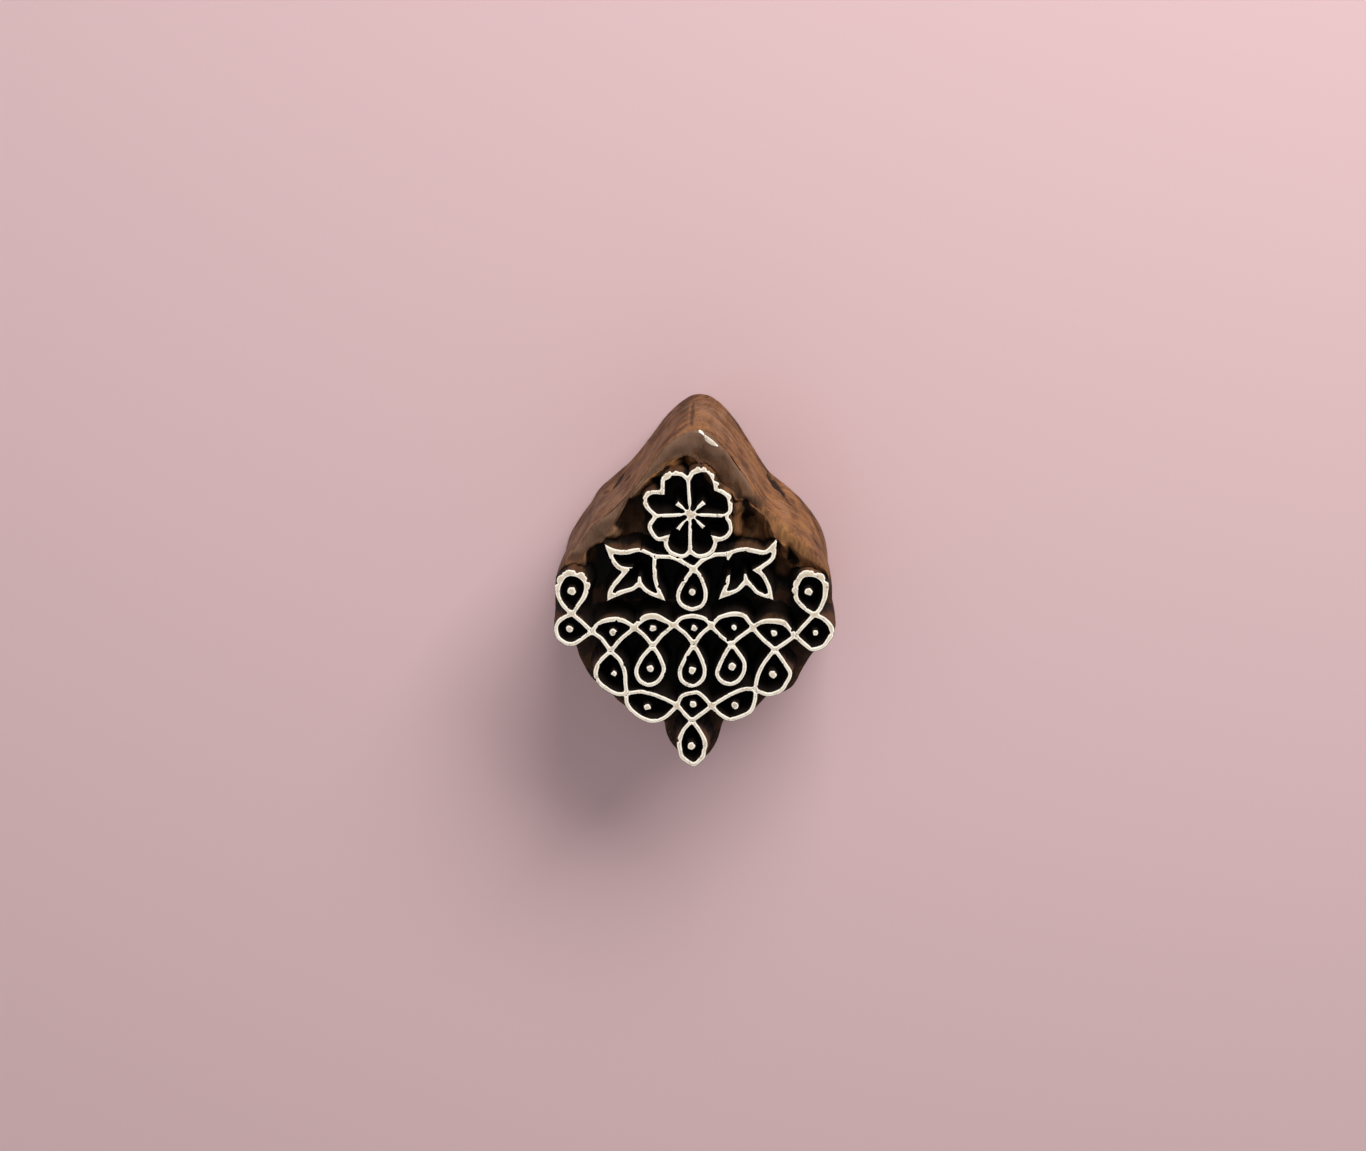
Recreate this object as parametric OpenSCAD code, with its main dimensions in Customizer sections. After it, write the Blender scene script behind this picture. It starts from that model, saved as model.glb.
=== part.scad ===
// Wooden textile printing block, carved by hand from one billet.
// The printing face looks up (+Z), the pointed end is towards +Y, and the back lies on z = 0.
// The pattern is a line that loops round a grid of dots, with a flower and two leaves above it.

/* [Block] */
// Height from the flat back to the painted printing face
block_height = 36; // [30:1:44]
// Depth of the carved ground below the printing face
ground_depth = 9; // [7:0.5:11]
// How far the rim round the pointed end stays below the printing face
rim_drop = 1; // [0.6:0.1:2]
// Fall of the ledge inside the rim, in degrees
ledge_angle = 24; // [12:1:32]
// Fall of the slope at the rim's east end, in degrees
slope_angle = 50; // [35:1:60]

/* [Pattern] */
// Distance between neighbouring dots of the pattern
dot_pitch = 8; // [7.5:0.25:9]
// Width of a carved line
line_width = 0.9; // [0.8:0.05:1.1]
// Diameter of a dot post
dot_diameter = 1.7; // [1.4:0.1:2]
// Radius left in the corners where two lines meet
corner_radius = 0.2; // [0.1:0.05:0.3]

/* [Ground coat] */
// Thickness of the white coat on the printing face
coat_thickness = 0.2; // [0.1:0.05:0.4]
// Length of the stray fleck of the coat on the rim
fleck_length = 4; // [3:0.5:5]
// Width of the stray fleck
fleck_width = 0.9; // [0.6:0.1:1.1]

/* [Hidden] */

// Plan points below are written for dots 8 apart, and grow with the pitch.
unit = dot_pitch / 8;
// The points are counted from a place this far north of the block's middle.
pattern_shift = 0.75;
coat_z = block_height - coat_thickness;
ground_z = block_height - ground_depth;
rim_z = block_height - rim_drop;
relief_height = coat_z - ground_z;

// Straight steps in each span of a carved line, and of the block's side
line_steps = 4;
side_steps = 3;
// Sides of a whole turn: of the knife's radius in the corners, and of a dot
corner_sides = 12;
dot_sides = 24;
// Longest point of a mitred corner, in half line widths
mitre_limit = 2.4;
// Slivers thinner than twice this are cleared where one motif is cut to meet another
sliver = 0.04;
// Clearance of cutting shapes past the wood they cut
overcut = 5;

wood = "#8a5a35";
carved_wood = "#2a1a10";
coat_white = "#e9dfc8";

// A point of a line: place in plan, and width as a share of the line width
function at(x, y, share = 1) = [x * unit, (y + pattern_shift) * unit, share * line_width];

// Catmull-Rom span from b to c
function span_point(a, b, c, d, t) =
    0.5 * (2 * b + (c - a) * t + (2 * a - 5 * b + 4 * c - d) * t * t
           + (3 * b - a - 3 * c + d) * t * t * t);

// Smooth path through the points of an open line
function curve(p, steps = line_steps) = [
    for (i = [0 : len(p) - 2])
        for (s = [0 : steps - 1])
            span_point(p[max(i - 1, 0)], p[i], p[i + 1], p[min(i + 2, len(p) - 1)], s / steps),
    p[len(p) - 1]
];

// Smooth path through the points of a ring
function ring(p, steps = line_steps) = let (n = len(p)) [
    for (i = [0 : n - 1])
        for (s = [0 : steps - 1])
            span_point(p[(i + n - 1) % n], p[i], p[(i + 1) % n], p[(i + 2) % n], s / steps)
];

// Closed outline of curved sides that meet at corners
function outline(sides) = [
    for (side = sides)
        let (path = curve(side))
            for (i = [0 : len(path) - 2]) path[i]
];

function plan(p) = [p.x, p.y];
function unit_vector(v) = norm(v) > 0 ? v / norm(v) : v;
function left_of(v) = [-v.y, v.x];

// Half-width vector of a line at its point i, mitred where the line turns
function half_width(path, i, closed) =
    let (
        n = len(path),
        here = plan(path[i]),
        before = closed ? plan(path[(i + n - 1) % n]) : plan(path[max(i - 1, 0)]),
        after = closed ? plan(path[(i + 1) % n]) : plan(path[min(i + 1, n - 1)]),
        into = unit_vector(here - before),
        out = unit_vector(after - here),
        across = unit_vector(left_of(into + out)),
        turn = max(across * left_of(out), across * left_of(into), 1 / mitre_limit)
    )
    across * path[i].z / 2 / turn;

// A carved line in plan
module line(path, closed = false) {
    n = len(path);
    for (i = [0 : closed ? n - 1 : n - 2]) {
        j = (i + 1) % n;
        side_i = half_width(path, i, closed);
        side_j = half_width(path, j, closed);
        polygon([
            plan(path[i]) + side_i, plan(path[j]) + side_j,
            plan(path[j]) - side_j, plan(path[i]) - side_i
        ]);
    }
}

// Lines joined into one shape, with the knife's radius in the corners
module joined() {
    offset(r = -corner_radius, $fn = corner_sides) offset(delta = corner_radius) children();
}

// The first child, cut to meet the others
module cut_to_meet() {
    offset(delta = sliver) offset(delta = -sliver) difference() {
        children(0);
        children([1 : $children - 1]);
    }
}

// Flower
flower_middle = at(-1, 18.25);
stamen_root = at(-1, 18.25, 0.5);
valley_north = at(-1.5, 25.25);
valley_west = at(-7.75, 17.75);
valley_south = at(-1, 10.75);
valley_east = at(5.75, 18);
cusp_nw = at(-6.5, 22.5);
cusp_sw = at(-5.5, 13.5);
cusp_se = at(3.75, 13.5);
cusp_ne = at(4, 23.5);
petal_edges = [
    [valley_north, at(-2.75, 26.25), at(-4.25, 26.5, 1.2), at(-6, 26.25, 1.3), at(-6.5, 25), cusp_nw],
    [cusp_nw, at(-8.75, 22.5), at(-10, 21.25, 1.1), at(-9.5, 19.5), valley_west],
    [valley_west, at(-9, 15.75), at(-8.5, 14.25), at(-7.25, 13), cusp_sw],
    [cusp_sw, at(-5.75, 12), at(-5, 10.5), at(-3.5, 9.75), at(-2, 9.75), valley_south],
    [valley_south, at(0.5, 9.75), at(2.25, 10), at(3.5, 11), at(4, 12.5), cusp_se],
    [cusp_se, at(5, 13.25), at(6.5, 14), at(7.5, 15.25), at(7.25, 16.75), valley_east],
    [valley_east, at(6.75, 18.75), at(7.25, 20.25, 1.2), at(7, 21.75, 1.2), at(6, 22.5, 1.1), cusp_ne],
    [cusp_ne, at(3.75, 24.75), at(3, 26.25), at(2, 27.25, 1.2), at(0.75, 27.25, 1.3), valley_north]
];
stamen_tips = [at(-3.75, 20.5, 1.3), at(1.75, 20.75, 1.3), at(-3.5, 15, 1.1), at(1.75, 15.5, 1.1)];

// Leaves
left_leaf_tip = at(-17.25, 11);
left_leaf_shoulder = at(-8, 9.5);
left_leaf_toe = at(-6.5, 1);
left_leaf_fork = at(-11, 4, 1.2);
left_leaf_heel = at(-17, 0.75);
left_leaf_notch = at(-13.25, 6.75);
left_leaf_edges = [
    [left_leaf_tip, at(-15.5, 10.25, 1.2), at(-13.5, 10.25, 1.2), at(-11, 10.75), left_leaf_shoulder],
    [left_leaf_shoulder, at(-8, 6), at(-7.5, 3.5), left_leaf_toe],
    [left_leaf_toe, at(-8, 1.5), at(-9.75, 2.5), left_leaf_fork],
    [left_leaf_fork, at(-12.25, 2.75), at(-14.5, 2, 1.1), left_leaf_heel],
    [left_leaf_heel, at(-16.75, 2.25), at(-15.25, 4.5, 1.1), left_leaf_notch],
    [left_leaf_notch, at(-15, 7, 1.1), at(-16.25, 8.5), left_leaf_tip]
];
left_leaf_vein = [left_leaf_fork, at(-11, 5.25, 0.6)];

right_leaf_tip = at(15.75, 12.5);
right_leaf_shoulder = at(6.25, 10.25);
right_leaf_notch = at(12.25, 7);
right_leaf_toe = at(15.25, 1.5);
right_leaf_fork = at(10.25, 4.75, 1.2);
right_leaf_heel = at(5.5, 1.5);
// The edge on the stem's side is broken, so this leaf is one open line
right_leaf_edge = concat(
    outline([
        [right_leaf_shoulder, at(9.25, 11.25), at(11.5, 11, 1.2), at(14, 10.75, 1.1), right_leaf_tip],
        [right_leaf_tip, at(15.5, 9.75), at(13.75, 8), right_leaf_notch],
        [right_leaf_notch, at(13.5, 6), at(14.75, 3.75), right_leaf_toe],
        [right_leaf_toe, at(12.75, 2.25), at(11.5, 3.5), right_leaf_fork],
        [right_leaf_fork, at(8.75, 3), at(7.25, 2.25, 1.1), right_leaf_heel],
        [right_leaf_heel, at(5.75, 2.25), at(6.5, 4.25), at(6.75, 6, 0.8)]
    ]),
    [at(6.75, 6, 0.8)]
);
right_leaf_vein = [right_leaf_fork, at(10, 6.25, 0.6)];
right_leaf_spur = [at(7, 10.5, 1.2), at(6.5, 9, 0.6)];

// The two stems cross and close below in one loop
stem_crossing = at(-0.25, 7);
stem_path = [
    left_leaf_shoulder, at(-4.25, 9.25), at(-1.75, 8), stem_crossing, at(1.25, 5.25), at(2.25, 2),
    at(1.75, -0.25), at(0, -1.25), at(-1, -1.25), at(-2.75, -0.25), at(-3.25, 1.75), at(-2, 4.5),
    stem_crossing, at(1.75, 9), at(4, 10), right_leaf_shoulder
];

// Crossings of the arch band: the upper row, then the lower row between them
uppers = [at(-20.5, -6.5), at(-12, -5.5), at(-4, -4.75), at(3.5, -4.75), at(11.75, -5), at(20.25, -6.5)];
lowers = [at(-16.75, -10.5), at(-8.25, -9.25), at(0, -8.75), at(7.5, -8.5), at(16.25, -9.5)];
arch_tops = [
    [at(-19.25, -4.75), at(-17.5, -4, 1.2), at(-15.25, -3.75, 1.2), at(-13.25, -4.5)],
    [at(-11.25, -4.5, 1.2), at(-9.75, -3.25, 1.5), at(-7.75, -3, 1.5), at(-5.5, -4, 1.2)],
    [at(-2.5, -3.25), at(-0.25, -2.75, 1.1), at(2, -3.25)],
    [at(5, -3), at(7.25, -2.25, 1.2), at(9.25, -2.25, 1.2), at(10.5, -3, 1.1)],
    [at(13, -4), at(15, -3.5, 1.3), at(17.75, -3.75, 1.4), at(19, -5)]
];
falling_legs = [at(-18.5, -8), at(-10, -7), at(-1.75, -6.5), at(5.25, -6.75, 0.9), at(13.75, -7.25)];
rising_legs = [at(-14.75, -8), at(-6.5, -7), at(1.5, -6.5), at(9.5, -6.75), at(18, -8.25)];

// Figures of eight at the two sides
left_eight_path = [
    uppers[0], at(-22.75, -4.25), at(-24.5, -2.75), at(-26.25, -1), at(-27.25, 1, 1.1),
    at(-27.25, 3, 1.3), at(-26.25, 5, 1.5), at(-24.5, 5.75, 1.5), at(-22.5, 5, 1.5),
    at(-21.5, 3.25, 1.3), at(-22, 1, 1.2), at(-23.25, -1), at(-24.5, -2.75), at(-26, -3.5),
    at(-27.25, -4.5), at(-27.75, -6), at(-27.25, -7.75), at(-25.75, -9), at(-24, -9),
    at(-22.25, -7.75), uppers[0]
];
right_eight_path = [
    uppers[5], at(22.25, -4), at(24, -2), at(25.25, -0.5), at(26, 2, 1.2), at(26, 4.5, 1.4),
    at(24.75, 6, 1.5), at(23, 6.5, 1.5), at(21.25, 6, 1.4), at(20.25, 4, 1.3), at(20.25, 1.5, 1.2),
    at(21.75, -0.5), at(24, -2), at(25.75, -2.75), at(27.25, -4.25, 1.2), at(27.5, -6, 1.2),
    at(26, -8.5), at(23.75, -9.25), at(22, -8), uppers[5]
];

// Loops hanging from the lower crossings
left_meeting = at(-13.5, -19.5);
right_meeting = at(12.5, -18);
drop_paths = [
    [lowers[0], at(-18.75, -12.5), at(-19.75, -14.75, 1.1), at(-19.25, -17), at(-17.5, -18.5),
     at(-15.5, -19.5), left_meeting],
    [lowers[0], at(-15, -12.25), at(-14, -14.5), at(-13.75, -17), left_meeting],
    [lowers[1], at(-10.25, -11.5), at(-11.5, -14.25), at(-11, -16.5), at(-9, -17.5), at(-7, -16.5),
     at(-6, -14), at(-7, -11.25), lowers[1]],
    [lowers[2], at(-1.5, -11.25), at(-2.75, -14.25), at(-2.25, -16.5), at(-0.25, -17.5), at(1.75, -16.25),
     at(2.25, -14), at(1.25, -11), lowers[2]],
    [lowers[3], at(5.75, -11.75), at(4.75, -15), at(6.25, -16.75), at(8.25, -16.75), at(9.75, -15.25),
     at(10.25, -12.5), at(8.75, -10), lowers[3]],
    [lowers[4], at(14.25, -12.25), at(13, -15), right_meeting],
    [lowers[4], at(18.25, -12.25), at(19.5, -14.5), at(18.75, -16.5), at(17.5, -18.25), at(15, -19),
     right_meeting]
];

// Swags below them, and the pendant loop
left_knot = at(-3.25, -21.75);
right_knot = at(3.75, -21.75);
pendant_crossing = at(-0.25, -25);
swag_paths = [
    [left_meeting, at(-13.5, -21.25), at(-12.5, -23), at(-10.5, -24.5), at(-8.5, -25.25), at(-6.25, -24.75),
     at(-4.5, -23.25), left_knot, at(-2.25, -19.75), at(0, -19), at(1, -19), at(2.25, -20), right_knot,
     at(5.5, -23.5), at(7.5, -24.5), at(10, -23.75), at(11.75, -22.5), at(12.5, -20.25), right_meeting],
    [left_meeting, at(-11, -19), at(-8.25, -19.5), at(-6.25, -20.25), left_knot, at(-2, -23.25),
     pendant_crossing],
    [right_meeting, at(10.25, -18), at(7.5, -19.25), right_knot, at(2, -23.25), pendant_crossing]
];
pendant_path = [
    pendant_crossing, at(-2, -27.25), at(-2.75, -30, 1.2), at(-2, -32.5), at(-0.25, -34), at(0.5, -34),
    at(2, -32.25), at(2.5, -29.75, 1.2), at(1.5, -27.25), pendant_crossing
];

// Dots: place, and diameter as a share of the dot diameter
dots = [
    at(-0.5, 2.25), at(-24.5, 2, 1.2), at(-25, -6), at(22.75, 2.75, 1.1), at(24.25, -5.75, 0.9),
    at(-16.25, -6.5), at(-8.25, -5.5), at(0, -5.25, 0.9), at(8, -5, 0.9), at(16, -6, 0.9),
    at(-8.75, -14), at(-0.25, -14.25, 1.1), at(7.75, -13.25, 1.1), at(-16, -15.25, 0.9),
    at(16, -14.75, 1.1), at(-9.25, -22.25), at(8.5, -21.5), at(0, -21.5), at(-0.25, -30.5, 1.1)
];

// The block's side, round from the pointed end by the west side
side_points = [
    at(-0.75, 35.75), at(-3.75, 34.25), at(-7, 31.25), at(-9.75, 27.5), at(-12.5, 23.75), at(-15, 20.75),
    at(-18, 18), at(-21.5, 14.75), at(-23.25, 11.75), at(-25.75, 8.25), at(-28.25, 3.5), at(-28.75, -1),
    at(-28.75, -6), at(-28, -9.25), at(-26.25, -11.25), at(-24.25, -12.25), at(-22.75, -15.25),
    at(-21.25, -18.5), at(-19, -21), at(-16.25, -22.25), at(-14.75, -24), at(-13.25, -26.25),
    at(-11, -27.5), at(-8.5, -28.25), at(-6.25, -28.25), at(-5, -30.75), at(-3.75, -34), at(-2.25, -36.25),
    at(0.25, -37.25), at(2.75, -36.25), at(4, -34), at(5.25, -30), at(6.5, -27.75), at(9, -27.25),
    at(11.75, -26.25), at(13.75, -24.25), at(15.25, -22.5), at(17.75, -22), at(20, -20.75), at(21.5, -18.5),
    at(22.5, -15), at(23.75, -12.75), at(26.5, -11.5), at(28.5, -8.75), at(28.75, -5.5), at(28, -2),
    at(27.75, 2), at(26.5, 6.5), at(24.25, 10.25), at(21.25, 13.75), at(17.75, 16.75), at(14.5, 19.5),
    at(10.75, 25.25), at(7.25, 30.5), at(3, 34.75)
];

// Stretches of line that the rim's wood runs up against, each from west to east
left_eight_seat = [for (i = [5 : 8]) left_eight_path[i]];
flower_seat = [for (i = [4 : -1 : 0]) petal_edges[7][i], for (i = [4 : -1 : 2]) petal_edges[6][i]];
right_eight_seat = [for (i = [8 : -1 : 5]) right_eight_path[i]];
// Inner edge of the rim, as the chisel left it, from the west side to the east side
rim_inner_edge = concat(
    left_eight_seat,
    [
        at(-22, 6.25), at(-22.25, 9), at(-18.75, 11.25), at(-16.75, 14.25), at(-13, 20.75),
        at(-9.25, 24.75), at(-4.5, 28.5), at(-2.25, 29.75), at(-0.25, 28.75)
    ],
    flower_seat,
    [at(9.5, 21), at(12.75, 18.5), at(14.5, 16.5), at(15.75, 13.5), at(17.75, 11.75), at(18.25, 9)],
    right_eight_seat
);
// The ground runs out at both sides and at the rounded end, and its cutter reaches past them all
ground_reach = 40 * unit;
ground_corners = [
    [ground_reach, rim_inner_edge[len(rim_inner_edge) - 1].y],
    [ground_reach, -ground_reach],
    [-ground_reach, -ground_reach],
    [-ground_reach, rim_inner_edge[0].y]
];

// Ledge that falls from the rim's crest to its inner edge: crest, inner edge, share of the ledge's fall,
// and share of the ground's depth that the crest itself has sunk
ledge_stations = [
    [at(-30, 2), at(-22.5, 4), 0.4, 0.25], [at(-26.5, 11.5), at(-20.5, 9.5), 0.5, 0.12],
    [at(-21.75, 15.5), at(-17.75, 12.5), 0.9, 0], [at(-17.25, 17.75), at(-15.25, 16.5), 1, 0],
    [at(-14.5, 20.5), at(-12.75, 20), 1, 0], [at(-9.75, 26.5), at(-8.75, 24.75), 1, 0],
    [at(-5, 32), at(-4.25, 29.5), 1, 0], [at(0, 34.25), at(0.75, 29.25), 0.9, 0],
    [at(5.5, 30.75), at(4.25, 25.5), 1, 0], [at(9.75, 25), at(8, 22.5), 1, 0],
    [at(12.5, 21), at(9.5, 19.5), 0.8, 0], [at(14.75, 18.5), at(12.25, 17.25), 0.3, 0]
];
// Slope at the rim's east end, written in the same way
slope_stations = [
    [at(18, 12.5), at(17.5, 11.25), 0.6, 0], [at(20.25, 11), at(18.5, 9), 1, 0],
    [at(22.5, 9.5), at(21, 7), 0.9, 0], [at(25, 7.75), at(24, 6.25), 1, 0],
    [at(27.5, 5.5), at(26.25, 4.25), 1.2, 0]
];
// Both cutters run on past the inner edge by this factor
ledge_overrun = 1.4;

// Middle of the stray fleck, and its turn
fleck_middle = at(2.9, 33.4);
fleck_turn = -42;

module flower_lines() joined() {
    line(outline(petal_edges), closed = true);
    for (valley = [valley_north, valley_west, valley_south, valley_east])
        line([flower_middle, valley]);
    for (tip = stamen_tips)
        line([stamen_root, tip]);
}

module stem_lines() joined() line(curve(stem_path));

module left_leaf_lines() joined() {
    line(outline(left_leaf_edges), closed = true);
    line(left_leaf_vein);
}

module right_leaf_lines() joined() {
    line(right_leaf_edge);
    line(right_leaf_vein);
    line(right_leaf_spur);
}

module arch_lines() joined() for (i = [0 : len(lowers) - 1]) {
    line(curve(concat([uppers[i]], arch_tops[i], [uppers[i + 1]])));
    line(curve([uppers[i], falling_legs[i], lowers[i]]));
    line(curve([lowers[i], rising_legs[i], uppers[i + 1]]));
}

module left_eight_lines() joined() line(curve(left_eight_path));

module right_eight_lines() joined() line(curve(right_eight_path));

module drop_lines() joined() for (path = drop_paths) line(curve(path));

module swag_lines() joined() for (path = swag_paths) line(curve(path));

module pendant_lines() joined() line(curve(pendant_path));

// Each motif ends where it runs into a neighbour, so that every stretch of line is carved once
module stem_plan() cut_to_meet() {
    stem_lines();
    flower_lines();
}

module left_leaf_plan() cut_to_meet() {
    left_leaf_lines();
    stem_lines();
}

module right_leaf_plan() cut_to_meet() {
    right_leaf_lines();
    stem_lines();
}

module left_eight_plan() cut_to_meet() {
    left_eight_lines();
    arch_lines();
}

module right_eight_plan() cut_to_meet() {
    right_eight_lines();
    arch_lines();
}

module drop_plan() cut_to_meet() {
    drop_lines();
    arch_lines();
}

module swag_plan() cut_to_meet() {
    swag_lines();
    drop_lines();
}

module pendant_plan() cut_to_meet() {
    pendant_lines();
    swag_lines();
}

// Wood standing up from the ground to the coat
module relief() color(carved_wood) translate([0, 0, ground_z]) linear_extrude(relief_height) children();

// White coat on top of the wood
module coat() color(coat_white) translate([0, 0, coat_z]) linear_extrude(coat_thickness) children();

// Section of a cutter for the ledge or the slope, at one station
function ledge_section(station, angle) =
    let (
        crest = plan(station[0]),
        reach = (plan(station[1]) - crest) * ledge_overrun,
        toe = crest + reach,
        crest_z = rim_z - ground_depth * station[3],
        toe_z = crest_z - norm(reach) * tan(angle) * station[2],
        top_z = rim_z + overcut
    )
    [
        [crest.x, crest.y, crest_z], [toe.x, toe.y, toe_z],
        [toe.x, toe.y, top_z], [crest.x, crest.y, top_z]
    ];

// Cutter for the ledge or the slope, swept through its stations
module ledge_cut(stations, angle) {
    last = len(stations) - 1;
    polyhedron(
        points = [for (station = stations) each ledge_section(station, angle)],
        faces = concat(
            [[3, 2, 1, 0], [for (j = [0 : 3]) 4 * last + j]],
            [
                for (k = [0 : last - 1])
                    for (j = [0 : 3])
                        let (a = 4 * k + j, b = 4 * k + (j + 1) % 4)
                            each [[a, b, b + 4], [a, b + 4, a + 4]]
            ]
        )
    );
}

module block_body() color(wood) difference() {
    linear_extrude(rim_z) polygon([for (p = ring(side_points, side_steps)) plan(p)]);
    translate([0, 0, ground_z])
        linear_extrude(ground_depth + overcut)
            polygon(concat([for (p = rim_inner_edge) plan(p)], ground_corners));
    ledge_cut(ledge_stations, ledge_angle);
    ledge_cut(slope_stations, slope_angle);
    // Room for the motifs that the rim's wood runs up against
    translate([0, 0, ground_z]) linear_extrude(ground_depth + overcut) {
        flower_lines();
        left_leaf_lines();
        right_leaf_lines();
        left_eight_lines();
        right_eight_lines();
    }
}

module flower_relief() relief() flower_lines();
module stem_loop_relief() relief() stem_plan();
module left_leaf_relief() relief() left_leaf_plan();
module right_leaf_relief() relief() right_leaf_plan();
module arch_band_relief() relief() arch_lines();
module left_eight_relief() relief() left_eight_plan();
module right_eight_relief() relief() right_eight_plan();
module drop_loops_relief() relief() drop_plan();
module swags_relief() relief() swag_plan();
module pendant_relief() relief() pendant_plan();

module dot_posts() color(carved_wood) for (dot = dots)
    translate([dot.x, dot.y, ground_z])
        cylinder(d = dot_diameter * dot.z / line_width, h = relief_height, $fn = dot_sides);

module flower_coat() coat() flower_lines();
module stem_loop_coat() coat() stem_plan();
module left_leaf_coat() coat() left_leaf_plan();
module right_leaf_coat() coat() right_leaf_plan();
module arch_band_coat() coat() arch_lines();
module left_eight_coat() coat() left_eight_plan();
module right_eight_coat() coat() right_eight_plan();
module drop_loops_coat() coat() drop_plan();
module swags_coat() coat() swag_plan();
module pendant_coat() coat() pendant_plan();

module dot_coats() color(coat_white) for (dot = dots)
    translate([dot.x, dot.y, coat_z])
        cylinder(d = dot_diameter * dot.z / line_width, h = coat_thickness, $fn = dot_sides);

module rim_fleck() color(coat_white)
    translate([fleck_middle.x, fleck_middle.y, rim_z])
        rotate([0, 0, fleck_turn])
            linear_extrude(coat_thickness)
                polygon([
                    [-fleck_length / 2, 0], [-fleck_length / 4, -fleck_width / 3],
                    [fleck_length / 4, -fleck_width / 2], [fleck_length / 2, -fleck_width / 4],
                    [fleck_length / 4, fleck_width / 2], [-fleck_length / 4, fleck_width / 4]
                ]);

block_body();
flower_relief();
stem_loop_relief();
left_leaf_relief();
right_leaf_relief();
arch_band_relief();
left_eight_relief();
right_eight_relief();
drop_loops_relief();
swags_relief();
pendant_relief();
dot_posts();
flower_coat();
stem_loop_coat();
left_leaf_coat();
right_leaf_coat();
arch_band_coat();
left_eight_coat();
right_eight_coat();
drop_loops_coat();
swags_coat();
pendant_coat();
dot_coats();
rim_fleck();
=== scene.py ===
import math

import bmesh
import bpy
import numpy as np
from mathutils import Matrix, Vector, noise
from mathutils.bvhtree import BVHTree
from mathutils.kdtree import KDTree


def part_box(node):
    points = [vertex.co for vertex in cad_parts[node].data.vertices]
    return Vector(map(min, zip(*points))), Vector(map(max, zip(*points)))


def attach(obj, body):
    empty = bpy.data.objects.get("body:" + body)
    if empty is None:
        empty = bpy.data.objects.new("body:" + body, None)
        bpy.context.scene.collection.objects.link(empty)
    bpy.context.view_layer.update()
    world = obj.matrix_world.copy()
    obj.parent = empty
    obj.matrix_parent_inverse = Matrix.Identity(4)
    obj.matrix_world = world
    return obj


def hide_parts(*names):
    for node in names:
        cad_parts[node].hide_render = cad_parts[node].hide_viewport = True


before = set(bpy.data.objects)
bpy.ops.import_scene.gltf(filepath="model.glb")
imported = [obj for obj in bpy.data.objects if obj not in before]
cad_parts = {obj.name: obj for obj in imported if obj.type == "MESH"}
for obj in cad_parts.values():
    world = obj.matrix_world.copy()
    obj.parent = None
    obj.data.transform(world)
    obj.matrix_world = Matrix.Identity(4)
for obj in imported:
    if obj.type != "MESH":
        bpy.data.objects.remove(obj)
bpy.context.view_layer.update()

# Lengths on the part are in millimetres, and MM brings them to the frame's metres
MM = 0.001
MOTIFS = [
    "flower", "stem_loop", "left_leaf", "right_leaf", "arch_band",
    "left_eight", "right_eight", "drop_loops", "swags", "pendant",
]
RELIEFS = [motif + "_relief" for motif in MOTIFS] + ["dot_posts"]
COATS = [motif + "_coat" for motif in MOTIFS] + ["dot_coats"]

GROUND_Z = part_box("flower_relief")[0].z / MM
COAT_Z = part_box("flower_relief")[1].z / MM
FACE_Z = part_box("flower_coat")[1].z / MM
RIM_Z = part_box("block_body")[1].z / MM

# Heights at which the space round a point is measured, in the carving and below its ground, and how far
LOOK_Z = 31
LOW_Z = 20
REACH = 12

# Lines: longest edges of their outlines, how far they sink into the ground, and the gap that counts as none
WOOD_STEP = 0.25
COAT_STEP = 0.22
FOOT_DEPTH = 0.4
TOUCHING = 0.3

# Middle of the flower in plan
FLOWER_MIDDLE = (-1, 19)

# Billet: length of its mesh's edges, rounds of smoothing, and places on the rim's inner side
BILLET_STEP = 0.42
SMOOTH_ROUNDS = 36
BEHIND_FLOWER = (-1, 29)
SLOT_X = -2.7
SLOT_HALF_WIDTH = 0.4
SLOT_FOOT_Y = 26
LEFT_X = -8
LEFT_CORNER = (-16.5, 13)

# Fleck: its thickness, the thickness at its edge, and how far its skirt reaches down from there
FLECK_THICKNESS = 0.12
FLECK_EDGE = 0.03
FLECK_SKIRT = 0.3

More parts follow.
